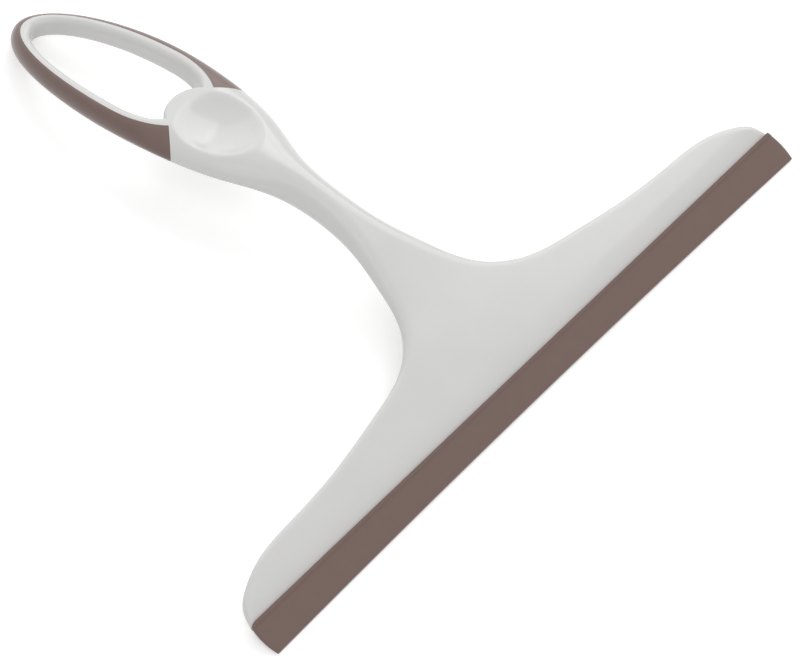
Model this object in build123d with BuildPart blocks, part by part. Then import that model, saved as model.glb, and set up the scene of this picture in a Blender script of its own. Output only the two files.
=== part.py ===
from build123d import *
from math import cos, radians, sin
import os

# Window cleaning squeegee: a white moulded handle, a soft grip band and a rubber blade.
# X runs along the blade, Y from the blade to the loop, Z up from the surface it lies on.

# Bow of the whole squeegee, seen from the side
BOW_RADIUS = 374.5
LIE_ANGLE = 18.02
OVERALL = 220.4

# Widths of the outline, each half the full width, and their stations along the bow.
# Each point of the shoulder is set in from the end of the blade, and the cheek from the loop's side.
BLADE_HALF = 125.0
END_BULGE = 0.8
END_MIDDLE = 6.0
SHOULDER = [(1.5, 14.9), (7.7, 20.0), (18.1, 23.7), (35.8, 25.4)]
WING = [(71.0, 26.9), (47.8, 30.8), (27.6, 36.7)]
THROAT = [(18.1, 45.0), (11.3, 60.4), (7.1, 75.5)]
NECK_HALF = 6.0
NECK_MIDDLE = 90.0
FLANK_EASE = 0.15
NAPE = (8.1, 106.5)
REST_HALF = 14.1
REST_STATION = 122.3
CHEEK = (1.5, 138.4)
LOOP_HALF = 19.5
LOOP_MIDDLE = 162.0

# Depths across the bow, how far their middle lifts off the bow, and their stations
HEAD_DEPTH = 4.6
WING_DEPTH = 4.4
THROAT_DEPTH = 5.0
NECK_DEPTH = 11.0
REST_DEPTH = 11.0
LOOP_DEPTH = 8.9
TIP_DEPTH = 8.4
THROAT_LIFT = -0.5
NECK_LIFT = 0.6
REST_LIFT = 0.1
LOOP_LIFT = -0.5
TIP_LIFT = -0.3
HEAD_BACK = 34.0
THROAT_STATION = 45.0
LOOP_START = 160.0

# Blade
BLADE_WIDTH = 10.4
EDGE_THICKNESS = 1.0
EDGE_HOLLOW = 1.3
FLEX_INSET = 5.5
FLEX_GAP = 0.3
TONGUE_LENGTH = 3.0
TONGUE_THICKNESS = 1.6
TONGUE_INSET = 3.0
TONGUE_SEAT = 1.0
PEG_DIAMETER = 1.6
PEG_COUNT = 20

# Thumb rest
DISH_STATION = 137.0
DISH_RADIUS = 13.2
DISH_DEPTH = 2.8
LOBE_STATION = 141.2
LOBE_RADIUS = 11.6

# Loop handle
ARM_WIDTH = 6.75
EYE_HALF = LOOP_HALF - ARM_WIDTH
EYE_MIDDLE = 164.5
EYE_FRONT = 21.8
RING_WIDTH = 7.2
RING_WALL = 3.2
RING_END = 3.6
CUT_OFFSET = 13.8
RIB_HEIGHT = 1.4
RIB_THICKNESS = 3.0
RIB_STATIONS = [130.0, 160.0, 190.0, 225.0]
BOND_GAP = 0.05

# Edge rounding
HEAD_ROUND = 1.7
NECK_ROUND = 4.6
NECK_SECTIONS = 9
REST_ROUND = 3.8
REST_STEP = 0.1
LOOP_ROUND = 3.0
EYE_ROUND = 1.6
HORN_ROUND = 1.2

# Spare around the blocks that the pieces are cut from
STOCK_MARGIN = 10.0

# Sizes that follow from the ones above
lean = radians(LIE_ANGLE)
crest_station = BOW_RADIUS * lean
crest_height = EDGE_THICKNESS / 2 + BOW_RADIUS * (1 - cos(lean))
front_reach = BOW_RADIUS * sin(lean)
back_reach = BOW_RADIUS * sin(OVERALL / BOW_RADIUS - lean)
crest_y = (front_reach - back_reach) / 2
reach_x = BLADE_HALF + STOCK_MARGIN
block_height = crest_height + 2 * STOCK_MARGIN
block_reach = OVERALL


def bow(station):
    """Middle of the depth at a station: its Y and Z."""
    turn = (station - crest_station) / BOW_RADIUS
    return crest_y + BOW_RADIUS * sin(turn), crest_height - BOW_RADIUS * (1 - cos(turn))


def plan(half, station):
    """Point of the outline seen from above."""
    return half, bow(station)[0]


def side(station, rise):
    """Point of the side view, a rise above the middle of the depth."""
    y, z = bow(station)
    return y, z + rise


border_y = bow(BLADE_WIDTH)[0]
throat_y = bow(THROAT_STATION)[0]
rest_y = bow(REST_STATION)[0]
dish_y = bow(DISH_STATION)[0]
lobe_y = bow(LOBE_STATION)[0]
loop_y = bow(LOOP_MIDDLE)[0]
eye_y = bow(EYE_MIDDLE)[0]
tip_y = bow(OVERALL)[0]
eye_back = tip_y - RING_WIDTH - eye_y
flex_station = BLADE_WIDTH - FLEX_INSET
flex_half = EDGE_THICKNESS / 2 + (HEAD_DEPTH - EDGE_THICKNESS) / 2 * flex_station / BLADE_WIDTH
tongue_half = BLADE_HALF - TONGUE_INSET
peg_pitch = 2 * tongue_half / PEG_COUNT

shoulder = [plan(BLADE_HALF - inset, station) for inset, station in SHOULDER]

# Outline of the whole squeegee, seen from above
with BuildSketch(Plane.XY) as outline:
    with BuildLine():
        end = ThreePointArc(
            plan(BLADE_HALF, 0),
            plan(BLADE_HALF + END_BULGE, END_MIDDLE),
            shoulder[0],
        )
        flank = Spline(
            end @ 1,
            *shoulder[1:],
            *[plan(half, station) for half, station in WING + THROAT],
            plan(NECK_HALF, NECK_MIDDLE),
            tangents=[end % 1, (0, 1)],
            tangent_scalars=[FLANK_EASE, FLANK_EASE],
        )
        Spline(
            flank @ 1,
            plan(*NAPE),
            plan(REST_HALF, REST_STATION),
            plan(LOOP_HALF - CHEEK[0], CHEEK[1]),
            plan(LOOP_HALF, LOOP_MIDDLE),
            tangents=[(0, 1), (0, 1)],
        )
        EllipticalCenterArc((0, loop_y), LOOP_HALF, tip_y - loop_y, start_angle=0, arc_size=90)
        mirror(about=Plane.YZ)
        ThreePointArc(plan(-BLADE_HALF, 0), plan(0, EDGE_HOLLOW), plan(BLADE_HALF, 0))
    make_face()

# Side view of the handle: top and bottom lines run half the depth from the lifted bow
depths = [
    (BLADE_WIDTH, HEAD_DEPTH, 0),
    (HEAD_BACK, WING_DEPTH, 0),
    (THROAT_STATION, THROAT_DEPTH, THROAT_LIFT),
    (NECK_MIDDLE, NECK_DEPTH, NECK_LIFT),
    (REST_STATION, REST_DEPTH, REST_LIFT),
    (LOOP_START, LOOP_DEPTH, LOOP_LIFT),
    (OVERALL + STOCK_MARGIN / 2, TIP_DEPTH, TIP_LIFT),
]
with BuildSketch(Plane.YZ) as profile:
    with BuildLine():
        upper = Spline(*[side(s, lift + d / 2) for s, d, lift in depths])
        lower = Spline(*[side(s, lift - d / 2) for s, d, lift in depths])
        Line(upper @ 0, lower @ 0)
        Line(upper @ 1, lower @ 1)
    make_face()

with BuildPart() as slab:
    with BuildSketch(Plane.YZ.offset(-reach_x)):
        add(profile.sketch_local)
    extrude(amount=2 * reach_x)


def half_width(y):
    """Half of the outline's width at a place along Y."""
    line = Edge.make_line((0, y, 0), (reach_x, y, 0))
    return outline.face().intersect(line).edges()[0].length


def depth_span(y):
    """Middle and depth of the side view at a place along Y."""
    line = Edge.make_line((0, y, -block_height), (0, y, block_height))
    span = profile.sketch.face().intersect(line).edges()[0]
    return (span @ 0.5).Z, span.length


def rims_on(block, curve):
    """Edges of a block, other than upright ones, that lie on a curve when seen from above."""
    rims = block.edges().filter_by(Axis.Z, reverse=True)
    return rims.filter_by(lambda e: curve.distance_to(((e @ 0.5).X, (e @ 0.5).Y, 0)) < 0.01)


def eye_plan(wall, end_wall):
    """Eye of the loop, seen from above: two half ellipses, grown by a wall at the sides and the ends."""
    half = EYE_HALF + wall
    with BuildSketch(Plane.XY) as eye:
        with BuildLine():
            EllipticalCenterArc((0, eye_y), half, eye_back + end_wall, start_angle=0, arc_size=180)
            EllipticalCenterArc((0, eye_y), half, EYE_FRONT + end_wall, start_angle=180, arc_size=180)
        make_face()
    return eye.sketch


def beyond_cuts(gap, end_y):
    """Region on one side of the two slanting cuts: past them, or before them for a low end."""
    apex = dish_y + (CUT_OFFSET + gap) * 2**0.5
    with BuildSketch(Plane.XY) as region:
        with BuildLine():
            Polyline(
                (0, apex),
                (2 * LOOP_HALF, apex - 2 * LOOP_HALF),
                (2 * LOOP_HALF, end_y),
                (-2 * LOOP_HALF, end_y),
                (-2 * LOOP_HALF, apex - 2 * LOOP_HALF),
                close=True,
            )
        make_face()
    return region.sketch


# Room of the grip band: past the cuts and outside the ring
with BuildSketch(Plane.XY) as band_room:
    add(beyond_cuts(0, block_reach))
    add(eye_plan(RING_WALL, RING_END), mode=Mode.SUBTRACT)

# Eye as it is cut: the lobe of the thumb rest stands in its front end
with BuildSketch(Plane.XY) as eye:
    add(eye_plan(0, 0))
    with Locations((0, lobe_y)):
        Circle(LOBE_RADIUS, mode=Mode.SUBTRACT)
    fillet(eye.vertices().filter_by(lambda v: v.Y < lobe_y + LOBE_RADIUS), HORN_ROUND)


def tongue(gap):
    """Strip along the front of the head, with holes that the rubber runs through."""
    rise = TONGUE_THICKNESS / 2 + gap
    with BuildPart() as strip:
        with BuildSketch(Plane.YZ.offset(-tongue_half - gap)):
            with BuildLine():
                Polyline(
                    side(BLADE_WIDTH + TONGUE_SEAT, rise),
                    side(BLADE_WIDTH - TONGUE_LENGTH - gap, rise),
                    side(BLADE_WIDTH - TONGUE_LENGTH - gap, -rise),
                    side(BLADE_WIDTH + TONGUE_SEAT, -rise),
                    close=True,
                )
            make_face()
        extrude(amount=2 * (tongue_half + gap))
        with BuildSketch(Plane.XY):
            with Locations((0, bow(BLADE_WIDTH - TONGUE_LENGTH / 2)[0])):
                with GridLocations(peg_pitch, 1, PEG_COUNT, 1):
                    Circle(PEG_DIAMETER / 2 - gap)
        extrude(amount=block_height, both=True, mode=Mode.SUBTRACT)
    return strip.part


def rib(gap):
    """Rib round the outside of the loop's ring, half way up its depth."""
    rise = RIB_THICKNESS / 2 + gap
    places = [(bow(s)[0], depth_span(bow(s)[0])[0]) for s in RIB_STATIONS]
    with BuildPart() as band:
        with BuildSketch(Plane.XY):
            add(eye_plan(RING_WALL + RIB_HEIGHT + gap, RING_END + RIB_HEIGHT + gap))
            add(eye_plan(RING_WALL / 2, RING_END / 2), mode=Mode.SUBTRACT)
            add(beyond_cuts(0, block_reach), mode=Mode.INTERSECT)
        extrude(amount=block_height, both=True)
        with BuildSketch(Plane.YZ.offset(-reach_x)):
            with BuildLine():
                Polyline(
                    *[(y, middle + rise) for y, middle in places],
                    *[(y, middle - rise) for y, middle in reversed(places)],
                    close=True,
                )
            make_face()
        extrude(amount=2 * reach_x, mode=Mode.INTERSECT)
    return band.part


# Room of the blade, seen from above
with BuildPart() as blade_block:
    with BuildSketch(Plane.XY):
        add(outline.sketch)
        with Locations((0, border_y - block_reach)):
            Rectangle(2 * reach_x, 2 * block_reach, mode=Mode.INTERSECT)
    extrude(amount=block_height, both=True)

# Head: the front of the outline, cut to the side view, with its edges rounded
with BuildPart() as head:
    with BuildSketch(Plane.XY):
        add(outline.sketch)
        with Locations((0, (border_y + throat_y) / 2)):
            Rectangle(2 * reach_x, throat_y - border_y, mode=Mode.INTERSECT)
    extrude(amount=block_height, both=True)
    add(slab.part, mode=Mode.INTERSECT)
    fillet(rims_on(head.part, outline.wire()), HEAD_ROUND)

# Neck: rounded sections from the head to the thumb rest
with BuildPart() as neck:
    for step in range(NECK_SECTIONS):
        share = step / (NECK_SECTIONS - 1)
        y = throat_y + share * (rest_y - throat_y)
        middle, depth = depth_span(y)
        swell = 4 * share * (1 - share)
        edge_round = (1 - share) * HEAD_ROUND + share * REST_ROUND
        edge_round += swell * (NECK_ROUND - (HEAD_ROUND + REST_ROUND) / 2)
        inset = share * REST_STEP
        with BuildSketch(Plane(origin=(0, y, middle), x_dir=(1, 0, 0), z_dir=(0, 1, 0))):
            RectangleRounded(2 * half_width(y) - inset, depth - inset, edge_round)
    loft()

# Handle end: the thumb rest and the loop before they are divided, with the outer edges rounded
with BuildPart() as handle_end:
    with BuildSketch(Plane.XY):
        add(outline.sketch)
        with Locations((0, rest_y + block_reach)):
            Rectangle(2 * reach_x, 2 * block_reach, mode=Mode.INTERSECT)
    extrude(amount=block_height, both=True)
    add(slab.part, mode=Mode.INTERSECT)
    fillet(rims_on(handle_end.part, outline.wire()), LOOP_ROUND)

# White of the handle end: thumb rest and inner ring
with BuildPart() as loop:
    add(handle_end.part)
    with BuildSketch(Plane.XY):
        add(eye.sketch)
        add(band_room.sketch)
    extrude(amount=block_height, both=True, mode=Mode.SUBTRACT)
    fillet(rims_on(loop.part, eye.wire()), EYE_ROUND)

# White handle: head, neck and loop in one moulding, with the dish, the tongue and the loop's rib
dish_sphere = (DISH_RADIUS**2 + DISH_DEPTH**2) / (2 * DISH_DEPTH)
dish_middle, dish_span = depth_span(dish_y)
dish_top = dish_middle + dish_span / 2
with BuildPart() as handle_body:
    add(head.part)
    add(neck.part)
    add(loop.part)
    with Locations((0, dish_y, dish_top - DISH_DEPTH + dish_sphere)):
        Sphere(dish_sphere, rotation=(90, 0, 0), mode=Mode.SUBTRACT)
    add(tongue(0))
    add(rib(0))

# Soft band round the outside of the loop, moulded over the rib
with BuildPart() as grip_band:
    add(handle_end.part)
    with BuildSketch(Plane.XY):
        add(beyond_cuts(BOND_GAP, -block_reach))
        add(eye_plan(RING_WALL + BOND_GAP, RING_END + BOND_GAP))
    extrude(amount=block_height, both=True, mode=Mode.SUBTRACT)
    add(rib(BOND_GAP), mode=Mode.SUBTRACT)

# Blade root: the rubber that wraps the head's tongue and fills its holes
with BuildPart() as blade_root:
    with BuildSketch(Plane.YZ.offset(-reach_x)):
        with BuildLine():
            Polyline(
                side(BLADE_WIDTH, HEAD_DEPTH / 2),
                side(flex_station, flex_half),
                side(flex_station, -flex_half),
                side(BLADE_WIDTH, -HEAD_DEPTH / 2),
                close=True,
            )
        make_face()
        with Locations(side(flex_station, 0)):
            Circle(flex_half + FLEX_GAP, mode=Mode.SUBTRACT)
    extrude(amount=2 * reach_x)
    add(blade_block.part, mode=Mode.INTERSECT)
    add(tongue(BOND_GAP), mode=Mode.SUBTRACT)

# Blade lip: the free rubber that bends on the glass, with a round back edge to turn on
with BuildPart() as blade_lip:
    with BuildSketch(Plane.YZ.offset(-reach_x)):
        with BuildLine():
            Polyline(
                side(flex_station, flex_half),
                side(0, EDGE_THICKNESS / 2),
                side(0, -EDGE_THICKNESS / 2),
                side(flex_station, -flex_half),
                close=True,
            )
        make_face()
        with Locations(side(flex_station, 0)):
            Circle(flex_half)
    extrude(amount=2 * reach_x)
    add(blade_block.part, mode=Mode.INTERSECT)

os.makedirs("parts", exist_ok=True)
handle_body.part.label = "handle_body"
grip_band.part.label = "grip_band"
blade_root.part.label = "blade_root"
blade_lip.part.label = "blade_lip"
export_step(handle_body.part, "parts/handle_body.step")
export_step(grip_band.part, "parts/grip_band.step")
export_step(blade_root.part, "parts/blade_root.step")
export_step(blade_lip.part, "parts/blade_lip.step")
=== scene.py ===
"""Window squeegee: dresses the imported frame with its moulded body, soft grip band and rubber blade.

Sizes are in millimetres in the part's own frame: X along the blade, Y from the blade to the loop,
Z up from the surface that the squeegee lies on. Meshes are written in metres.
"""
import logging
import math
from dataclasses import dataclass, field
from enum import Enum

import bmesh
import bpy
import numpy as np
from mathutils import Matrix, Vector


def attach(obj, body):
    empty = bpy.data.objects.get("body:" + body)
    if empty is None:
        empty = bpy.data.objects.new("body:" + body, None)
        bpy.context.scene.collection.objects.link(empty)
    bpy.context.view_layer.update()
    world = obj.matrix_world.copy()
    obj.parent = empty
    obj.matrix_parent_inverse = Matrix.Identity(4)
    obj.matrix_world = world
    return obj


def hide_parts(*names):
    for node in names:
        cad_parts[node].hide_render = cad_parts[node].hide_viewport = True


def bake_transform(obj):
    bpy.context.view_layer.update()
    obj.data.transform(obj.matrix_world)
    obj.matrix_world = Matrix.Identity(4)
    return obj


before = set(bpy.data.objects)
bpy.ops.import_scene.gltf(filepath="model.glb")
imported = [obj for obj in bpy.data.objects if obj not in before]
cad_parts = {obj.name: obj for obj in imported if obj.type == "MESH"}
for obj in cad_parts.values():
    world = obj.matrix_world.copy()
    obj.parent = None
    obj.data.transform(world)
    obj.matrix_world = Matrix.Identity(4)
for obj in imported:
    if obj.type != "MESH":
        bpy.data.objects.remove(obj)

LOG = logging.getLogger("squeegee")
MM = 0.001
WELD_MM = 0.004
SHARP_ANGLE = math.radians(40.0)
SEARCH_STEPS = 4000
QUARTER = math.pi / 2
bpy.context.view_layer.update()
Array = np.ndarray


class Body(Enum):
    """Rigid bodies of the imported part."""

    HANDLE = "handle"
    LIP = "lip"


class Slot(Enum):
    """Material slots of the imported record."""

    WHITE = "white_plastic"
    GRIP = "soft_grip"
    BLADE = "blade_rubber"


# Curves and grids


@dataclass(frozen=True)
class CubicCurve:
    """Cubic spline through points, clamped to end slopes where they are given.

    Between two knots the curve is the cubic whose second derivative runs straight from one knot's
    moment to the next. The moments solve the usual tridiagonal system.
    """

    knots: Array
    points: Array
    start: Array | None = None
    end: Array | None = None
    moments: Array = field(init=False)

    def __post_init__(self) -> None:
        """Solve for the moments at the knots."""
        step = np.diff(self.knots)
        slope = np.diff(self.points, axis=0) / step[:, None]
        count = len(self.knots)
        matrix = np.eye(count)
        right = np.zeros_like(self.points)
        inner = np.arange(1, count - 1)
        matrix[inner, inner - 1] = step[:-1]
        matrix[inner, inner] = 2 * (step[:-1] + step[1:])
        matrix[inner, inner + 1] = step[1:]
        right[1:-1] = 6 * np.diff(slope, axis=0)
        if self.start is not None:
            matrix[0, :2] = 2 * step[0], step[0]
            right[0] = 6 * (slope[0] - self.start)
        if self.end is not None:
            matrix[-1, -2:] = step[-1], 2 * step[-1]
            right[-1] = 6 * (self.end - slope[-1])
        object.__setattr__(self, "moments", np.linalg.solve(matrix, right))

    def __call__(self, at: Array) -> Array:
        """Evaluate the spline.

        Args:
            at: Parameter values.

        Returns:
            One row of coordinates per value.
        """
        at = np.asarray(at, dtype=float)
        index = np.clip(np.searchsorted(self.knots, at) - 1, 0, len(self.knots) - 2)
        step = (self.knots[index + 1] - self.knots[index])[:, None]
        after = (at - self.knots[index])[:, None] / step
        before = 1 - after
        bend = (before**3 - before) * self.moments[index] + (after**3 - after) * self.moments[index + 1]
        return before * self.points[index] + after * self.points[index + 1] + bend * step**2 / 6


def spline_path(points: Array, count: int, start: Array | None = None, end: Array | None = None) -> Array:
    """Carry a smooth path through points, by their chord lengths.

    Args:
        points: Points to pass through, one per row.
        count: Number of samples.
        start: Unit direction at the first point.
        end: Unit direction at the last point.

    Returns:
        Samples along the path, one per row.
    """
    chords = np.linalg.norm(np.diff(points, axis=0), axis=1)
    knots = np.concatenate([[0.0], np.cumsum(chords)])
    return CubicCurve(knots, points, start, end)(np.linspace(0, knots[-1], count))


def even_steps(path: Array, shares: Array) -> Array:
    """Sample a polyline at shares of its length.

    Args:
        path: Points of the polyline, one per row.
        shares: Shares of the length, 0 to 1.

    Returns:
        One point per share.
    """
    lengths = np.concatenate([[0.0], np.cumsum(np.linalg.norm(np.diff(path, axis=0), axis=1))])
    at = np.asarray(shares) * lengths[-1]
    return np.stack([np.interp(at, lengths, path[:, axis]) for axis in range(path.shape[1])], axis=1)


def path_distance(points: Array, path: Array) -> Array:
    """Distance from points to a polyline: the nearest foot among its segments.

    Args:
        points: Array whose last axis is (x, y).
        path: Points of the polyline, one per row.

    Returns:
        Array of distances in the shape of points without its last axis.
    """
    flat = points.reshape(-1, 2)
    ends = np.diff(path, axis=0)
    sizes = np.maximum((ends**2).sum(axis=1), 1e-12)
    gap = flat[:, None, :] - path[None, :-1, :]
    share = np.clip((gap * ends).sum(axis=2) / sizes, 0, 1)
    rest = gap - share[..., None] * ends
    return np.sqrt((rest**2).sum(axis=2)).min(axis=1).reshape(points.shape[:-1])


def crossing(path: Array, level: Array) -> Array:
    """First point of a polyline where a level passes zero.

    Args:
        path: Points of the polyline, one per row.
        level: Signed level at each point.

    Returns:
        The point, worked out along the segment that passes zero.
    """
    index = int(np.argmax(np.diff(np.sign(level)) != 0))
    share = level[index] / (level[index] - level[index + 1])
    return path[index] + share * (path[index + 1] - path[index])


def grid_quads(rows: int, columns: int, first: int = 0) -> Array:
    """Quads of a grid whose vertices run row by row.

    Args:
        rows: Number of vertex rows.
        columns: Number of vertices in a row.
        first: Index of the first vertex.

    Returns:
        Four indices per quad.
    """
    corner = first + (np.arange(rows - 1)[:, None] * columns + np.arange(columns - 1)).reshape(-1, 1)
    return corner + np.array([0, 1, columns + 1, columns])


@dataclass
class MeshParts:
    """Grids that are gathered, mirrored and welded into one closed mesh."""

    name: str
    vertices: list[Array] = field(default_factory=list)
    quads: list[Array] = field(default_factory=list)
    count: int = 0

    def add_grid(self, grid: Array) -> None:
        """Add a grid of points.

        Args:
            grid: Points in millimetres, rows by columns by three.
        """
        rows, columns = grid.shape[:2]
        self.vertices.append(grid.reshape(-1, 3))
        self.quads.append(grid_quads(rows, columns, self.count))
        self.count += rows * columns

    def add_strip(self, first: Array, second: Array, steps: int = 1) -> None:
        """Add a ruled strip between two rows of points, with a number of steps across."""
        share = np.linspace(0, 1, steps + 1)[None, :, None]
        self.add_grid(first[:, None, :] * (1 - share) + second[:, None, :] * share)

    def mirrored(self) -> None:
        """Add the mirror image of everything across the plane X = 0."""
        self.vertices += [part * np.array([-1.0, 1.0, 1.0]) for part in list(self.vertices)]
        self.quads += [part[:, ::-1] + self.count for part in list(self.quads)]
        self.count *= 2

    def build(self) -> bpy.types.Object:
        """Weld the grids into one object.

        Returns:
            Object at the origin, with smooth faces that point outwards.
        """
        mesh = bpy.data.meshes.new(self.name)
        mesh.from_pydata(np.concatenate(self.vertices) * MM, [], np.concatenate(self.quads).tolist())
        shell = bmesh.new()
        shell.from_mesh(mesh)
        bmesh.ops.remove_doubles(shell, verts=shell.verts, dist=WELD_MM * MM)
        bmesh.ops.dissolve_degenerate(shell, edges=shell.edges, dist=WELD_MM * MM / 4)
        bmesh.ops.recalc_face_normals(shell, faces=shell.faces)
        open_edges = sum(1 for edge in shell.edges if not edge.is_manifold)
        volume = shell.calc_volume() / MM**3
        shell.to_mesh(mesh)
        shell.free()
        mesh.shade_smooth()
        mesh.set_sharp_from_angle(angle=SHARP_ANGLE)
        piece = bpy.data.objects.new(self.name, mesh)
        bpy.context.scene.collection.objects.link(piece)
        LOG.info("%s: %d faces, %d open edges, %.0f mm3", self.name, len(mesh.polygons), open_edges, volume)
        return piece


# The form shared by all pieces


@dataclass(frozen=True)
class Bow:
    """Bow of the squeegee seen from the side: one arc through the middle of the depth."""

    radius: float = 374.5
    lie_angle: float = math.radians(18.02)
    overall: float = 220.4
    edge_thickness: float = 1.0

    @property
    def crest_station(self) -> float:
        """Station of the highest point."""
        return self.radius * self.lie_angle

    @property
    def crest_y(self) -> float:
        """Place of the highest point along Y."""
        back = self.overall / self.radius - self.lie_angle
        return self.radius * (math.sin(self.lie_angle) - math.sin(back)) / 2

    def y(self, station: Array) -> Array:
        """Place along Y at a station along the bow."""
        return self.crest_y + self.radius * np.sin((np.asarray(station) - self.crest_station) / self.radius)

    def z(self, station: Array) -> Array:
        """Height of the middle of the depth at a station."""
        turn = (np.asarray(station) - self.crest_station) / self.radius
        crest = self.edge_thickness / 2 + self.radius * (1 - math.cos(self.lie_angle))
        return crest - self.radius * (1 - np.cos(turn))

    def station(self, y: Array) -> Array:
        """Station at a place along Y."""
        return self.crest_station + self.radius * np.arcsin((np.asarray(y) - self.crest_y) / self.radius)


@dataclass(frozen=True)
class Form:
    """Outline, depth and openings of the squeegee, from which every piece is cut.

    Pairs are a half width and a station along the bow.
    """

    bow: Bow = Bow()
    blade_half: float = 125.0
    end_bulge: float = 0.8
    end_middle: float = 6.0
    shoulder: tuple = ((1.5, 14.9), (7.7, 20.0), (18.1, 23.7), (35.8, 25.4))
    wing: tuple = ((71.0, 26.9), (47.8, 30.8), (27.6, 36.7))
    throat: tuple = ((18.1, 45.0), (11.3, 60.4), (7.1, 75.5))
    neck: tuple = (6.0, 90.0)
    nape: tuple = (8.1, 106.5)
    rest: tuple = (14.1, 122.3)
    cheek: tuple = (18.0, 138.4)
    loop: tuple = (19.5, 162.0)
    blade_width: float = 10.4
    depths: tuple = (
        (10.4, 4.6), (34.0, 4.4), (45.0, 5.0), (90.0, 11.0), (122.3, 11.0), (160.0, 8.9), (225.4, 8.4),
    )
    lifts: tuple = (
        (10.4, 0.0), (34.0, 0.0), (45.0, -0.5), (90.0, 0.6), (122.3, 0.1), (160.0, -0.5), (225.4, -0.3),
    )
    rounds: tuple = (
        (10.4, 2.6), (34.0, 2.8), (60.0, 5.0), (90.0, 6.0), (106.0, 7.8), (122.3, 12.0),
        (138.0, 12.5), (152.0, 6.6), (165.0, 3.8), (185.0, 3.4), (205.0, 3.4), (225.4, 3.4),
    )
    dish_station: float = 135.3
    dish_radius: float = 14.0
    dish_depth: float = 3.3
    dish_blend: float = 0.9
    lobe_station: float = 141.2
    lobe_radius: float = 11.6
    eye_half: float = 12.75
    eye_station: float = 164.5
    eye_front: float = 21.8
    ring_width: float = 7.2
    ring_wall: float = 3.2
    ring_end: float = 3.6
    cut_offset: float = 14.5
    eye_round: float = 2.4
    lobe_round: float = 1.2
    brow_drop: float = 0.9
    brow_reach: float = 7.0
    end_samples: int = 60
    flank_samples: int = 700
    side_samples: int = 300
    tip_samples: int = 240

    def plan(self, half: float, station: float) -> Array:
        """Point of the outline seen from above."""
        return np.array([half, float(self.bow.y(station))])

    @property
    def dish_y(self) -> float:
        """Middle of the thumb dish along Y."""
        return float(self.bow.y(self.dish_station))

    @property
    def lobe_y(self) -> float:
        """Middle of the lobe's round edge along Y."""
        return float(self.bow.y(self.lobe_station))

    @property
    def eye_y(self) -> float:
        """Widest place of the eye along Y."""
        return float(self.bow.y(self.eye_station))

    def end_x(self, y: Array) -> Array:
        """Half width at the end of the blade: an arc through the tip, the bulge and the shoulder.

        Args:
            y: Places along Y.

        Returns:
            Half width at each place.
        """
        a = self.plan(self.blade_half, 0.0)
        b = self.plan(self.blade_half + self.end_bulge, self.end_middle)
        c = self.plan(self.blade_half - self.shoulder[0][0], self.shoulder[0][1])
        matrix = 2 * np.stack([b - a, c - a])
        centre = np.linalg.solve(matrix, np.array([b @ b - a @ a, c @ c - a @ a]))
        return centre[0] + np.sqrt(np.sum((a - centre) ** 2) - (np.asarray(y) - centre[1]) ** 2)

    def outline(self) -> Array:
        """Right half of the outline from the blade's end to the loop's tip.

        Returns:
            Dense points: the end's arc, a spline along the wing to the neck, a spline to the loop's
            side, and a quarter ellipse to the tip.
        """
        joint = float(self.bow.y(self.shoulder[0][1]))
        arc_y = np.linspace(float(self.bow.y(0.0)), joint, self.end_samples)
        arc = np.stack([self.end_x(arc_y), arc_y], axis=1)
        leave = (arc[-1] - arc[-2]) / np.linalg.norm(arc[-1] - arc[-2])
        up = np.array([0.0, 1.0])
        wing = [self.plan(self.blade_half - inset, station) for inset, station in self.shoulder]
        wing += [self.plan(*pair) for pair in self.wing + self.throat + (self.neck,)]
        side = [self.plan(*pair) for pair in (self.neck, self.nape, self.rest, self.cheek, self.loop)]
        turn = np.linspace(0, QUARTER, self.tip_samples)
        middle = self.plan(*self.loop)
        tip = float(self.bow.y(self.bow.overall)) - middle[1]
        end = np.stack([middle[0] * np.cos(turn), middle[1] + tip * np.sin(turn)], axis=1)
        flank = spline_path(np.array(wing), self.flank_samples, leave, up)
        cheek = spline_path(np.array(side), self.side_samples, up, up)
        return np.concatenate([arc, flank[1:], cheek[1:], end[1:]])

    def eye_curve(self, turn: Array, wall: float, end_wall: float) -> Array:
        """Eye of the loop at angles from its widest place: two half ellipses, grown by a wall.

        Args:
            turn: Angles, a quarter turn at the tip, negative towards the thumb rest.
            wall: Distance outside the eye at its sides.
            end_wall: Distance outside the eye at its ends.

        Returns:
            One point per angle.
        """
        back = float(self.bow.y(self.bow.overall)) - self.ring_width - self.eye_y
        reach = np.where(turn > 0, back, self.eye_front) + end_wall
        return np.stack([(self.eye_half + wall) * np.cos(turn), self.eye_y + reach * np.sin(turn)], axis=1)

    def ring_curve(self, turn: Array, gap: float = 0.0) -> Array:
        """Outside of the white ring at angles from the eye's widest place."""
        return self.eye_curve(turn, self.ring_wall + gap, self.ring_end + gap)

    def cut_level(self, points: Array, gap: float = 0.0) -> Array:
        """How far points lie past the slanting cut between the thumb rest and the grip band."""
        return (np.abs(points[:, 0]) + points[:, 1] - self.dish_y) / math.sqrt(2) - self.cut_offset - gap

    def column(self, table: tuple, station: Array) -> Array:
        """Smooth value of a table of stations and sizes.

        Args:
            table: Pairs of a station and a size.
            station: Stations to read the table at.

        Returns:
            Sizes in the shape of the stations.
        """
        pairs = np.array(table)
        shape = np.shape(station)
        return CubicCurve(pairs[:, 0], pairs[:, 1:])(np.ravel(station)).reshape(shape)

    def heights(self, points: Array, outline: Array) -> tuple[Array, Array, Array]:
        """Middle, top and bottom of the body over points of the plan.

        The half depth rises from nothing at the outline to its full size one rounding radius inside,
        along a quarter ellipse.

        Args:
            points: Array whose last axis is (x, y).
            outline: Dense outline to round off towards.

        Returns:
            Heights of the middle, the top and the bottom.
        """
        station = self.bow.station(points[..., 1])
        middle = self.bow.z(station) + self.column(self.lifts, station)
        inside = np.clip(path_distance(points, outline) / self.column(self.rounds, station), 0, 1)
        rise = self.column(self.depths, station) / 2 * np.sqrt(1 - (1 - inside) ** 2)
        return middle, middle + rise, middle - rise

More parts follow.
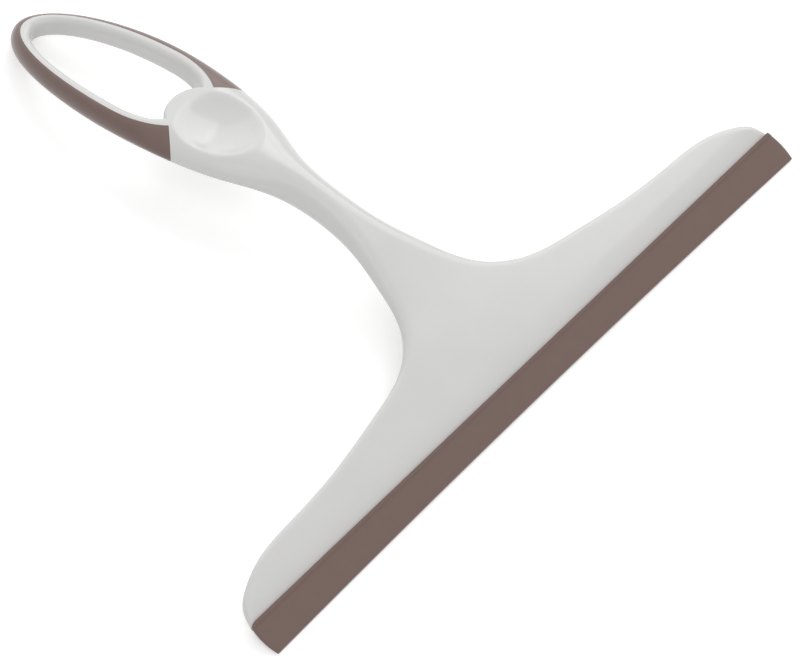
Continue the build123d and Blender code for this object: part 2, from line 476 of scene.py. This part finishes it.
    def dished(self, points: Array, top: Array) -> Array:
        """Press the thumb dish into the top: a ball's surface, blended softly at its rim.

        Args:
            points: Array whose last axis is (x, y).
            top: Heights of the top before the dish.

        Returns:
            Heights of the top with the dish.
        """
        ball = (self.dish_radius**2 + self.dish_depth**2) / (2 * self.dish_depth)
        station = np.array([self.dish_station])
        lift, depth = self.column(self.lifts, station), self.column(self.depths, station)
        crown = float((self.bow.z(station) + lift + depth / 2)[0])
        far = np.hypot(points[..., 0], points[..., 1] - self.dish_y)
        bowl = crown - self.dish_depth + ball - np.sqrt(ball**2 - np.minimum(far, 0.98 * ball) ** 2)
        mix = np.maximum(self.dish_blend - np.abs(top - bowl), 0) / self.dish_blend
        return np.minimum(top, bowl) - mix**2 * self.dish_blend / 4


def with_height(points: Array, height: Array) -> Array:
    """Join plan points and their heights."""
    return np.concatenate([points, height[..., None]], axis=-1)


def rounded_over(distance: Array, radius: Array | float) -> Array:
    """Drop of a quarter-round edge at a distance inside it."""
    inside = np.clip(distance / radius, 0, 1)
    return radius * (1 - np.sqrt(1 - (1 - inside) ** 2))


# Finishes


@dataclass(frozen=True)
class Grain:
    """Scales of the clouds and of the grain per metre, and the strength and depth of the grain."""

    clouds: float
    fine: float
    strength: float
    depth: float = 0.0002
    cloud_detail: float = 4.0
    fine_detail: float = 3.0
    ramp: tuple = (0.35, 0.62)


@dataclass(frozen=True)
class Plastic:
    """Glossy moulded plastic, with faint flow clouds in its colour and a slight ripple in its gloss."""

    name: str = "glossy_white_plastic"
    colour: tuple = (0.735, 0.732, 0.715)
    cloud: tuple = (0.722, 0.719, 0.700)
    roughness: float = 0.15
    ripple: float = 0.03
    grain: Grain = Grain(60.0, 900.0, 0.015)

    def build(self) -> bpy.types.Material:
        """Make the material's nodes."""
        return procedural(self.name, self.colour, self.cloud, self.roughness, self.ripple, self.grain)


@dataclass(frozen=True)
class Rubber:
    """Matt soft rubber, mottled a little, with a fine moulded grain."""

    name: str
    colour: tuple = (0.176, 0.113, 0.0965)
    mottle: tuple = (0.170, 0.109, 0.093)
    roughness: float = 0.50
    ripple: float = 0.08
    sheen: float = 0.35
    sheen_roughness: float = 0.4
    grain: Grain = Grain(220.0, 2600.0, 0.12)

    def build(self) -> bpy.types.Material:
        """Make the material's nodes and set the sheen.

        Returns:
            The material.
        """
        material = procedural(self.name, self.colour, self.mottle, self.roughness, self.ripple, self.grain)
        shader = material.node_tree.nodes["Principled BSDF"]
        shader.inputs["Sheen Weight"].default_value = self.sheen
        shader.inputs["Sheen Roughness"].default_value = self.sheen_roughness
        return material


def procedural(
    name: str, colour: tuple, other: tuple, roughness: float, ripple: float, grain: Grain
) -> bpy.types.Material:
    """Moulded material: colour and roughness follow slow noise, and fine noise gives the grain.

    Args:
        name: Name of the material.
        colour: Main colour.
        other: Colour that the clouds run to.
        roughness: Middle roughness.
        ripple: How far the roughness varies.
        grain: Scales and strength of the clouds and the grain.

    Returns:
        The material.
    """
    material = bpy.data.materials.new(name)
    material.use_nodes = True
    nodes = material.node_tree.nodes
    links = material.node_tree.links
    shader = nodes["Principled BSDF"]
    place = nodes.new("ShaderNodeTexCoord")
    clouds = nodes.new("ShaderNodeTexNoise")
    clouds.inputs["Scale"].default_value = grain.clouds
    clouds.inputs["Detail"].default_value = grain.cloud_detail
    links.new(place.outputs["Object"], clouds.inputs["Vector"])
    ramp = nodes.new("ShaderNodeValToRGB")
    for stop, position, tint in zip(ramp.color_ramp.elements, grain.ramp, (other, colour)):
        stop.position = position
        stop.color = (*tint, 1.0)
    links.new(clouds.outputs["Fac"], ramp.inputs["Fac"])
    links.new(ramp.outputs["Color"], shader.inputs["Base Color"])
    spread = nodes.new("ShaderNodeMapRange")
    spread.inputs["To Min"].default_value = roughness - ripple
    spread.inputs["To Max"].default_value = roughness + ripple
    links.new(clouds.outputs["Fac"], spread.inputs["Value"])
    links.new(spread.outputs["Result"], shader.inputs["Roughness"])
    fine = nodes.new("ShaderNodeTexNoise")
    fine.inputs["Scale"].default_value = grain.fine
    fine.inputs["Detail"].default_value = grain.fine_detail
    links.new(place.outputs["Object"], fine.inputs["Vector"])
    relief = nodes.new("ShaderNodeBump")
    relief.inputs["Strength"].default_value = grain.strength
    relief.inputs["Distance"].default_value = grain.depth
    links.new(fine.outputs["Fac"], relief.inputs["Height"])
    links.new(relief.outputs["Normal"], shader.inputs["Normal"])
    return material


# Pieces


@dataclass(frozen=True)
class PadMarks:
    """Ends of the cut, the horn between lobe and eye, and their angles round the eye and the lobe."""

    cut_out: Array
    cut_in: Array
    horn: Array
    cut_turn: float
    horn_turn: float
    lobe_turn: float


@dataclass
class WhiteBody:
    """White moulding: head, neck, thumb rest and the ring of the loop."""

    form: Form
    finish: Plastic
    name: str = "squeegee_body"
    across: int = 30
    along: int = 300
    corner: tuple = (28.0, 36.9)
    crowding: float = 1.7
    seam_steps: int = 4
    cheek_steps: int = 36
    cut_steps: int = 18
    lip_steps: int = 22
    ring_steps: int = 160
    horn_share: float = 0.1
    wall_steps: int = 8
    search_end: float = 0.3

    def edge_shares(self) -> Array:
        """Shares from the outline to the spine, close together at the rounded edge."""
        return np.linspace(0, 1, self.across + 1) ** self.crowding

    def lip_shares(self) -> Array:
        """Shares from the ring's outside to the eye, close together at the eye's rounded edge."""
        return 1 - (1 - np.linspace(0, 1, self.lip_steps + 1)) ** 2

    def head_and_neck(self, parts: MeshParts, outline: Array) -> None:
        """Add the head and neck: lines run from the outline to a spine.

        The spine follows the front edge of the head to its middle, then the middle of the neck.
        Along the front edge the top dips towards the blade, by the square of the nearness.
        Each point of the plan lies at a share of its line, and its height comes from the form.

        Args:
            parts: Mesh to add to.
            outline: Dense right half of the outline.
        """
        form = self.form
        border = float(form.bow.y(form.blade_width))
        rest_y = float(form.bow.y(form.rest[1]))
        inside = (outline[:, 1] > border) & (outline[:, 1] < rest_y)
        edge = np.concatenate(
            [[[float(form.end_x(border)), border]], outline[inside], [[form.rest[0], rest_y]]]
        )
        edge = even_steps(edge, np.linspace(0, 1, self.along + 1))
        corner_x, corner_place = form.plan(*self.corner)
        corner = int(np.argmin(np.hypot(edge[:, 0] - corner_x, edge[:, 1] - corner_place)))
        width, corner_y = edge[0, 0], edge[corner, 1]
        spine = np.zeros_like(edge)
        spine[: corner + 1, 0] = (edge[: corner + 1, 0] - edge[corner, 0]) / (width - edge[corner, 0]) * width
        spine[: corner + 1, 1] = border
        spine[corner:, 1] = border + (edge[corner:, 1] - corner_y) / (rest_y - corner_y) * (rest_y - border)
        share = self.edge_shares()[None, :, None]
        plan = edge[:, None, :] * (1 - share) + spine[:, None, :] * share
        middle, top, bottom = form.heights(plan, outline)
        brow = 1 - np.clip((plan[..., 1] - border) / form.brow_reach, 0, 1)
        dip = np.minimum(form.brow_drop * brow**2, (top - middle) / 2)
        upper, lower = with_height(plan, form.dished(plan, top) - dip), with_height(plan, bottom)
        upper[:, 0, 2] = lower[:, 0, 2] = middle[:, 0]
        upper[0, :, 2] = lower[0, :, 2] = middle[0]
        parts.add_grid(upper)
        parts.add_grid(lower)
        parts.add_strip(upper[: corner + 1, -1], lower[: corner + 1, -1], self.seam_steps)

    def landmarks(self, outline: Array) -> PadMarks:
        """Corners where the thumb rest, the cut, the ring and the eye meet, and their angles.

        Args:
            outline: Dense right half of the outline.

        Returns:
            The corners and angles.
        """
        form = self.form
        turns = np.linspace(-QUARTER, self.search_end, SEARCH_STEPS)
        ring, eye = form.ring_curve(turns), form.eye_curve(turns, 0.0, 0.0)
        ring_level = form.cut_level(ring)
        horn_level = np.hypot(eye[:, 0], eye[:, 1] - form.lobe_y) - form.lobe_radius
        horn = crossing(eye, horn_level)
        return PadMarks(
            cut_out=crossing(outline, form.cut_level(outline)),
            cut_in=crossing(ring, ring_level),
            horn=horn,
            cut_turn=float(crossing(turns[:, None], ring_level)[0]),
            horn_turn=float(crossing(turns[:, None], horn_level)[0]),
            lobe_turn=math.atan2(horn[0], horn[1] - form.lobe_y),
        )

    def thumb_pad(self, outline: Array, marks: PadMarks) -> Array:
        """Plan of the thumb rest: a patch blended from its four edges.

        Its columns run from the axis to the outer edge and its rows from the rest line to the lobe. A
        point is the blend of the two edges across, plus the blend of the two edges along, less the
        blend of the four corners.

        Args:
            outline: Dense right half of the outline.
            marks: Corners from landmarks.

        Returns:
            Grid of plan points, rows by columns by two.
        """
        form = self.form
        rest_y = float(form.bow.y(form.rest[1]))
        side = outline[(outline[:, 1] > rest_y) & (outline[:, 1] < marks.cut_out[1])]
        cheek = np.concatenate([[[form.rest[0], rest_y]], side, [marks.cut_out]])
        cut_share = np.linspace(0, 1, self.cut_steps + 1)[1:, None]
        right = np.concatenate([
            even_steps(cheek, np.linspace(0, 1, self.cheek_steps + 1)),
            marks.cut_out + cut_share * (marks.cut_in - marks.cut_out),
            marks.cut_in + self.lip_shares()[1:, None] * (marks.horn - marks.cut_in),
        ])
        lengths = np.concatenate([[0.0], np.cumsum(np.linalg.norm(np.diff(right, axis=0), axis=1))])
        down = (lengths / lengths[-1])[:, None, None]
        over = (1 - self.edge_shares()[::-1])[None, :, None]
        lobe_end = form.lobe_y + form.lobe_radius
        middle_y = rest_y + down[:, 0, 0] * (lobe_end - rest_y)
        left = np.stack([np.zeros(len(right)), middle_y], axis=1)[:, None, :]
        front = np.stack([form.rest[0] * over[0, :, 0], np.full(self.across + 1, rest_y)], axis=1)[None]
        turn = marks.lobe_turn * over[0, :, 0]
        lobe = np.stack([np.sin(turn), np.cos(turn)], axis=1)[None] * form.lobe_radius
        lobe = lobe + np.array([0.0, form.lobe_y])
        corners = (1 - down) * ((1 - over) * front[:, :1] + over * front[:, -1:])
        corners = corners + down * ((1 - over) * lobe[:, :1] + over * lobe[:, -1:])
        return (1 - down) * front + down * lobe + (1 - over) * left + over * right[:, None, :] - corners

    def rest_and_ring(self, parts: MeshParts, outline: Array) -> None:
        """Add the thumb rest and the ring, with the walls of the eye and those under the band.

        The ring is a grid of lines from its outside to the edge of the eye. Both sheets drop along a
        quarter round towards the lobe and the eye, which grows from the lobe's radius to the eye's.

        Args:
            parts: Mesh to add to.
            outline: Dense right half of the outline.
        """
        form = self.form
        marks = self.landmarks(outline)
        pad = self.thumb_pad(outline, marks)
        outer = form.ring_curve(np.linspace(marks.cut_turn, QUARTER, self.ring_steps + 1))
        inner = form.eye_curve(np.linspace(marks.horn_turn, QUARTER, self.ring_steps + 1), 0.0, 0.0)
        share = self.lip_shares()[None, :, None]
        ring = outer[:, None, :] * (1 - share) + inner[:, None, :] * share
        ring[0] = pad[-self.lip_steps - 1:, -1]
        edge = np.concatenate([pad[-1], ring[1:, -1]])
        cheek = self.cheek_steps
        grown = np.clip(np.linspace(0, 1, self.ring_steps + 1) / self.horn_share, 0, 1)[:, None]
        ring_round = form.lobe_round + (form.eye_round - form.lobe_round) * grown**2 * (3 - 2 * grown)
        for plan, edge_round in ((pad, form.lobe_round), (ring, ring_round)):
            middle, top, bottom = form.heights(plan, outline)
            drop = rounded_over(path_distance(plan, edge), edge_round)
            upper = with_height(plan, form.dished(plan, top) - drop)
            lower = with_height(plan, bottom + drop)
            if plan is pad:
                upper[: cheek + 1, -1, 2] = lower[: cheek + 1, -1, 2] = middle[: cheek + 1, -1]
                hidden = (slice(cheek, cheek + self.cut_steps + 1), -1)
                parts.add_strip(upper[-1], lower[-1], self.wall_steps)
            else:
                hidden = (slice(None), 0)
                parts.add_strip(upper[:, -1], lower[:, -1], self.wall_steps)
            parts.add_grid(upper)
            parts.add_grid(lower)
            parts.add_strip(upper[hidden], lower[hidden], self.seam_steps)

    def build(self) -> bpy.types.Object:
        """Build the moulding and set it on the handle's body.

        Returns:
            The finished piece.
        """
        parts = MeshParts(self.name)
        outline = self.form.outline()
        self.head_and_neck(parts, outline)
        self.rest_and_ring(parts, outline)
        parts.mirrored()
        piece = parts.build()
        piece.data.materials.append(self.finish.build())
        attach(piece, Body.HANDLE.value)
        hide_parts("handle_body")
        return piece


@dataclass
class GripBand:
    """Soft band round the outside of the loop, between the two slanting cuts."""

    form: Form
    finish: Rubber
    name: str = "loop_grip"
    gap: float = 0.05
    along: int = 150
    across: int = 30
    crowding: float = 1.7
    wall_steps: int = 6

    def build(self) -> bpy.types.Object:
        """Build the band and set it on the handle's body.

        Its lines run from the ring to the outline, close together at the rounded edge.

        Returns:
            The finished piece.
        """
        form = self.form
        outline = form.outline()
        level = form.cut_level(outline, self.gap)
        start = crossing(outline, level)
        past = outline[int(np.argmax(level > 0)):]
        turns = np.linspace(-QUARTER, QUARTER, SEARCH_STEPS)
        ring = form.ring_curve(turns, self.gap)
        ring_level = form.cut_level(ring, self.gap)
        ring_start = crossing(ring, ring_level)
        ring_past = ring[int(np.argmax(ring_level > 0)):]
        shares = np.linspace(0, 1, self.along + 1)
        outer = even_steps(np.concatenate([[start], past]), shares)
        inner = even_steps(np.concatenate([[ring_start], ring_past]), shares)
        spread = (1 - (1 - np.linspace(0, 1, self.across + 1)) ** self.crowding)[None, :, None]
        plan = inner[:, None, :] * (1 - spread) + outer[:, None, :] * spread
        middle, top, bottom = form.heights(plan, outline)
        upper, lower = with_height(plan, top), with_height(plan, bottom)
        upper[:, -1, 2] = lower[:, -1, 2] = middle[:, -1]
        parts = MeshParts(self.name)
        parts.add_grid(upper)
        parts.add_grid(lower)
        parts.add_strip(upper[:, 0], lower[:, 0], self.wall_steps)
        parts.add_strip(upper[0], lower[0], self.wall_steps)
        parts.mirrored()
        piece = parts.build()
        piece.data.materials.append(self.finish.build())
        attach(piece, Body.HANDLE.value)
        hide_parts("grip_band")
        return piece


@dataclass
class WiperBlade:
    """Rubber blade: a tapered strip with a low bead along the head, curved with the bow.

    Its thickness falls off along a quarter ellipse at both ends, and below its middle the ends lean
    inwards in proportion to the depth.
    """

    form: Form
    finish: Rubber
    name: str = "wiper_blade"
    edge_hollow: float = 1.3
    bead_width: float = 1.2
    bead_rise: float = 0.4
    bead_fall: float = 0.4
    root_half: float = 2.3
    edge_half: float = 0.5
    nose_share: float = 0.03
    nose_thin: float = 0.72
    columns: int = 240
    end_round: float = 1.6
    end_share: float = 0.12
    end_lean: float = 0.65
    flex_start: float = 7.4
    flex_end: float = 2.4

    def profile(self) -> Array:
        """Closed section of the blade: stations from the border to the edge, with rises.

        The half thickness tapers evenly to the edge, ends in a quarter ellipse at the nose, and steps up
        along a smooth cubic to the bead beside the border.

        Returns:
            Points (share of the blade's width from its edge, rise), over the top, round the edge and back.
        """
        width = self.form.blade_width
        bead_share = self.bead_width / width
        share = np.concatenate([
            np.linspace(1.0, 1 - 0.75 * bead_share, 5),
            np.linspace(1 - 0.8 * bead_share, 1 - 1.2 * bead_share, 9),
            np.linspace(1 - 1.5 * bead_share, self.nose_share, 26),
            [0.018, 0.008, 0.002, 0.0],
        ])
        half = self.edge_half + (self.root_half - self.edge_half) * share
        nose = np.clip(share / self.nose_share, 0, 1)
        half *= self.nose_thin + (1 - self.nose_thin) * np.sqrt(1 - (1 - nose) ** 2)
        step = np.clip(((share - 1) * width + 1.2 * self.bead_width) / (self.bead_fall * self.bead_width), 0, 1)
        bead = self.bead_rise * step**2 * (3 - 2 * step)
        top = np.stack([share, half + bead], axis=1)
        bottom = np.stack([share, -half - bead], axis=1)[::-1]
        return np.concatenate([top, bottom])

    def build(self) -> bpy.types.Object:
        """Build the blade along the bow.

        Columns of the section run along the blade, closer together at its ends, and the edge is hollowed
        by a parabola.

        Returns:
            The finished piece.
        """
        form = self.form
        bow = form.bow
        section = self.profile()
        along = np.sin(np.linspace(-QUARTER, QUARTER, self.columns + 1))
        hollow = self.edge_hollow * (1 - along**2)
        station = hollow[:, None] + section[None, :, 0] * (form.blade_width - hollow[:, None])
        y = bow.y(station)
        below = np.clip(-section[None, :, 1], 0, None)
        x = along[:, None] * (form.end_x(y) - self.end_lean * below)
        inside = np.clip((form.end_x(y) - np.abs(x)) / self.end_round, 0, 1)
        thick = self.end_share + (1 - self.end_share) * np.sqrt(1 - (1 - inside) ** 2)
        z = bow.z(station) + section[None, :, 1] * thick
        grid = np.stack([x, y, z], axis=-1)
        parts = MeshParts(self.name)
        parts.add_grid(grid)
        parts.add_strip(grid[:, -1], grid[:, 0])
        half = len(section) // 2
        for end in (0, -1):
            parts.add_strip(grid[end, :half], grid[end, half:][::-1])
        piece = parts.build()
        piece.data.materials.append(self.finish.build())
        start = (0.0, float(bow.y(self.flex_start)) * MM, float(bow.z(self.flex_start)) * MM)
        end_at = (0.0, float(bow.y(self.flex_end)) * MM, float(bow.z(self.flex_end)) * MM)
        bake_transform(piece)
        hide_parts("blade_root", "blade_lip")
        return piece


# Studio


@dataclass(frozen=True)
class PhotoCamera:
    """Camera at the photograph's viewing angle.

    The angles turn the blade's own frame, whose origin is the middle of the blade's edge, to the
    camera's frame. The shift and distance place that origin in front of the camera.
    """

    yaw: float = math.radians(30.0)
    pitch: float = math.radians(-6.819)
    roll: float = math.radians(42.743)
    shift: tuple = (44.63, -18.60)
    distance: float = 1229.3
    focal_pixels: float = 4079.9
    width_pixels: int = 800
    sensor: float = 36.0
    clip_end: float = 20.0

    def build(self, bow: Bow) -> bpy.types.Object:
        """Place the camera and make it the scene's own.

        Args:
            bow: Bow that the blade's own frame lies on.

        Returns:
            The camera.
        """
        lean = Matrix.Rotation(self.yaw, 3, "Y") @ Matrix.Rotation(self.pitch, 3, "X")
        back = (Matrix.Rotation(self.roll, 3, "Z") @ lean).transposed()
        place = back @ Vector((-self.shift[0], -self.shift[1], self.distance))
        lie = Matrix.Rotation(bow.lie_angle, 3, "X")
        edge = Vector((0.0, float(bow.y(0.0)), float(bow.z(0.0))))
        data = bpy.data.cameras.new("photo_camera")
        data.sensor_width = self.sensor
        data.lens = self.focal_pixels / self.width_pixels * self.sensor
        data.clip_end = self.clip_end
        camera = bpy.data.objects.new("photo_camera", data)
        camera.matrix_world = Matrix.Translation((lie @ place + edge) * MM) @ (lie @ back).to_4x4()
        bpy.context.scene.collection.objects.link(camera)
        bpy.context.scene.camera = camera
        return camera


@dataclass(frozen=True)
class SoftLamp:
    """Large soft lamp that looks at the middle of the object from a direction and a distance."""

    name: str
    direction: tuple
    distance: float
    size: float
    power: float
    target: tuple = (0.0, 0.0, 0.01)

    def build(self) -> bpy.types.Object:
        """Add the lamp to the scene.

        Returns:
            The lamp.
        """
        data = bpy.data.lights.new(self.name, "AREA")
        data.size = self.size
        data.energy = self.power
        lamp = bpy.data.objects.new(self.name, data)
        away = Vector(self.direction).normalized() * self.distance
        lamp.location = Vector(self.target) + away
        lamp.rotation_euler = (-away).to_track_quat("-Z", "Y").to_euler()
        bpy.context.scene.collection.objects.link(lamp)
        return lamp


def seen_strength(tree: bpy.types.NodeTree, base: float, extra: float) -> bpy.types.NodeSocket:
    """Strength that is greater for rays from the camera, from reflections and through clear things.

    Args:
        tree: Node tree of the floor's material or of the world.
        base: Strength for light that falls on the object.
        extra: Strength added where it is seen.

    Returns:
        Output socket with the strength.
    """
    path = tree.nodes.new("ShaderNodeLightPath")
    seen, through, strength = (tree.nodes.new("ShaderNodeMath") for _ in range(3))
    seen.operation = through.operation = "MAXIMUM"
    strength.operation = "MULTIPLY_ADD"
    strength.inputs[1].default_value = extra
    strength.inputs[2].default_value = base
    tree.links.new(path.outputs["Is Camera Ray"], seen.inputs[0])
    tree.links.new(path.outputs["Is Glossy Ray"], seen.inputs[1])
    tree.links.new(seen.outputs[0], through.inputs[0])
    tree.links.new(path.outputs["Is Transmission Ray"], through.inputs[1])
    tree.links.new(through.outputs[0], strength.inputs[0])
    return strength.outputs[0]


@dataclass(frozen=True)
class Studio:
    """Plain pale floor, soft lamps and an even sky."""

    floor_half: float = 4.0
    floor_colour: tuple = (0.9, 0.9, 0.9)
    glow: float = 0.38
    sky: float = 0.49
    backdrop: float = 1.0
    lamps: tuple = (
        SoftLamp("key", (0.48, 0.74, 0.46), 1.6, 1.2, 4.2),
        SoftLamp("fill", (-0.48, -0.32, 0.82), 1.9, 2.2, 10.5),
        SoftLamp("side", (0.74, 0.20, 0.64), 1.4, 1.0, 5.8),
    )

    def floor(self) -> None:
        """Add the floor. It glows for the camera and for reflections, and keeps the shadow."""
        half = self.floor_half
        mesh = bpy.data.meshes.new("floor")
        corners = [(-half, -half, 0), (half, -half, 0), (half, half, 0), (-half, half, 0)]
        mesh.from_pydata(corners, [], [(0, 1, 2, 3)])
        floor = bpy.data.objects.new("floor", mesh)
        bpy.context.scene.collection.objects.link(floor)
        material = bpy.data.materials.new("pale_floor")
        material.use_nodes = True
        nodes, links = material.node_tree.nodes, material.node_tree.links
        nodes.clear()
        diffuse = nodes.new("ShaderNodeBsdfDiffuse")
        diffuse.inputs["Color"].default_value = (*self.floor_colour, 1.0)
        glow = nodes.new("ShaderNodeEmission")
        both = nodes.new("ShaderNodeAddShader")
        out = nodes.new("ShaderNodeOutputMaterial")
        links.new(seen_strength(material.node_tree, 0.0, self.glow), glow.inputs["Strength"])
        links.new(diffuse.outputs[0], both.inputs[0])
        links.new(glow.outputs[0], both.inputs[1])
        links.new(both.outputs[0], out.inputs["Surface"])
        mesh.materials.append(material)

    def world(self) -> None:
        """Light the scene evenly from all round, with a paler sky for the camera and for reflections."""
        world = bpy.data.worlds.new("even_sky")
        world.use_nodes = True
        tree = world.node_tree
        back = tree.nodes["Background"]
        back.inputs["Color"].default_value = (1.0, 1.0, 1.0, 1.0)
        tree.links.new(seen_strength(tree, self.sky, self.backdrop - self.sky), back.inputs["Strength"])
        bpy.context.scene.world = world

    def build(self) -> None:
        """Set up floor, sky, lamps and plain colours."""
        self.floor()
        self.world()
        for lamp in self.lamps:
            lamp.build()
        bpy.context.scene.view_settings.view_transform = "Standard"


def main() -> None:
    """Build every piece, then the studio and the camera."""
    logging.basicConfig(level=logging.INFO, format="%(name)s: %(message)s")
    form = Form()
    pieces = [
        WhiteBody(form, Plastic()).build(),
        GripBand(form, Rubber("soft_grip_rubber", roughness=0.32, sheen=0.55)).build(),
        WiperBlade(form, Rubber("blade_rubber")).build(),
    ]
    for piece in pieces:
        LOG.info("dressed %s", piece.name)
    Studio().build()
    PhotoCamera().build(form.bow)


if __name__ == "__main__":
    main()
